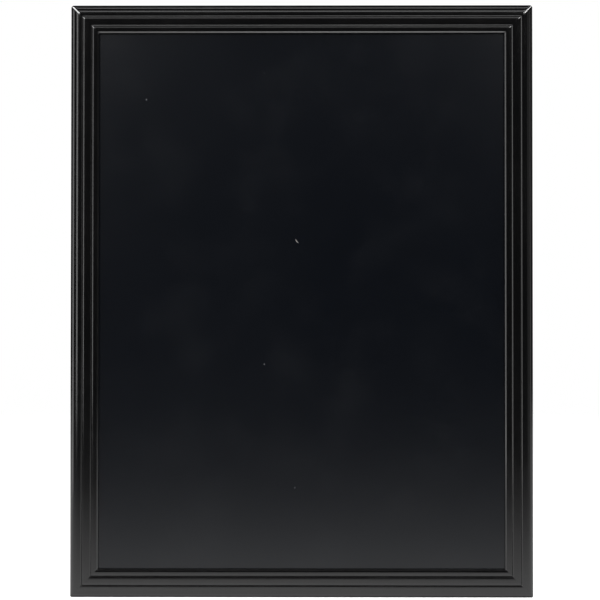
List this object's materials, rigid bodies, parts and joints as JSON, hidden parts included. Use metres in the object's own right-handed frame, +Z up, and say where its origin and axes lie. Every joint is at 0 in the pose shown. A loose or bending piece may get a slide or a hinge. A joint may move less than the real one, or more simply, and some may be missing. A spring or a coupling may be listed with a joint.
{
  "type": "framed chalkboard",
  "caption": "Upright wall chalkboard: a stepped black lacquered moulding, mitred at its corners, frames a dark writing panel; swinging rings on the back hang it on hooks",
  "frame": {"origin": "midway between the two wall hooks, where the insides of the hanger rings bear on them, on the plane of the rings", "axes": "+Z up, -Y out of the writing face towards the reader, +Y towards the wall, +X to the reader's right; metres"},
  "size_m": [0.703, 0.0263, 0.9],
  "materials": {
    "frame_lacquer": "gloss black lacquer over solid wood",
    "chalk_panel": "semi-matte blue-black writing coat on hard fibreboard, bare brown back",
    "strap_steel": "zinc-plated pressed strip",
    "ring_steel": "bright nickel-plated wire and screw heads",
    "fastener_steel": "plain rolled steel",
    "pad_rubber": "soft black rubber"
  },
  "bodies": {
    "board": {"bottom_rail": "frame_lacquer", "bumper_bottom_left": "pad_rubber", "bumper_bottom_right": "pad_rubber", "bumper_top_left": "pad_rubber", "bumper_top_right": "pad_rubber", "hanger_screw_left_1": "ring_steel", "hanger_screw_left_2": "ring_steel", "hanger_screw_right_1": "ring_steel", "hanger_screw_right_2": "ring_steel", "hanger_strap_left": "strap_steel", "hanger_strap_right": "strap_steel", "left_stile": "frame_lacquer", "panel_point_bottom_rail_1": "fastener_steel", "panel_point_bottom_rail_2": "fastener_steel", "panel_point_bottom_rail_3": "fastener_steel", "panel_point_left_stile_1": "fastener_steel", "panel_point_left_stile_2": "fastener_steel", "panel_point_left_stile_3": "fastener_steel", "panel_point_left_stile_4": "fastener_steel", "panel_point_right_stile_1": "fastener_steel", "panel_point_right_stile_2": "fastener_steel", "panel_point_right_stile_3": "fastener_steel", "panel_point_right_stile_4": "fastener_steel", "panel_point_top_rail_1": "fastener_steel", "panel_point_top_rail_2": "fastener_steel", "panel_point_top_rail_3": "fastener_steel", "right_stile": "frame_lacquer", "top_rail": "frame_lacquer", "v_nail_bottom_left_1": "fastener_steel", "v_nail_bottom_left_2": "fastener_steel", "v_nail_bottom_right_1": "fastener_steel", "v_nail_bottom_right_2": "fastener_steel", "v_nail_top_left_1": "fastener_steel", "v_nail_top_left_2": "fastener_steel", "v_nail_top_right_1": "fastener_steel", "v_nail_top_right_2": "fastener_steel", "writing_panel": "chalk_panel"},
    "ring_left": {"hanger_ring_left": "ring_steel"},
    "ring_right": {"hanger_ring_right": "ring_steel"}
  },
  "joints": [
    {"name": "ring_left_swing", "type": "hinge", "parent": "board", "child": "ring_left", "pos_m": [-0.3345, 0, -0.0109], "axis": [-1, 0, 0], "range_deg": [0, 168]},
    {"name": "ring_right_swing", "type": "hinge", "parent": "board", "child": "ring_right", "pos_m": [0.3345, 0, -0.0109], "axis": [-1, 0, 0], "range_deg": [0, 168]}
  ]
}
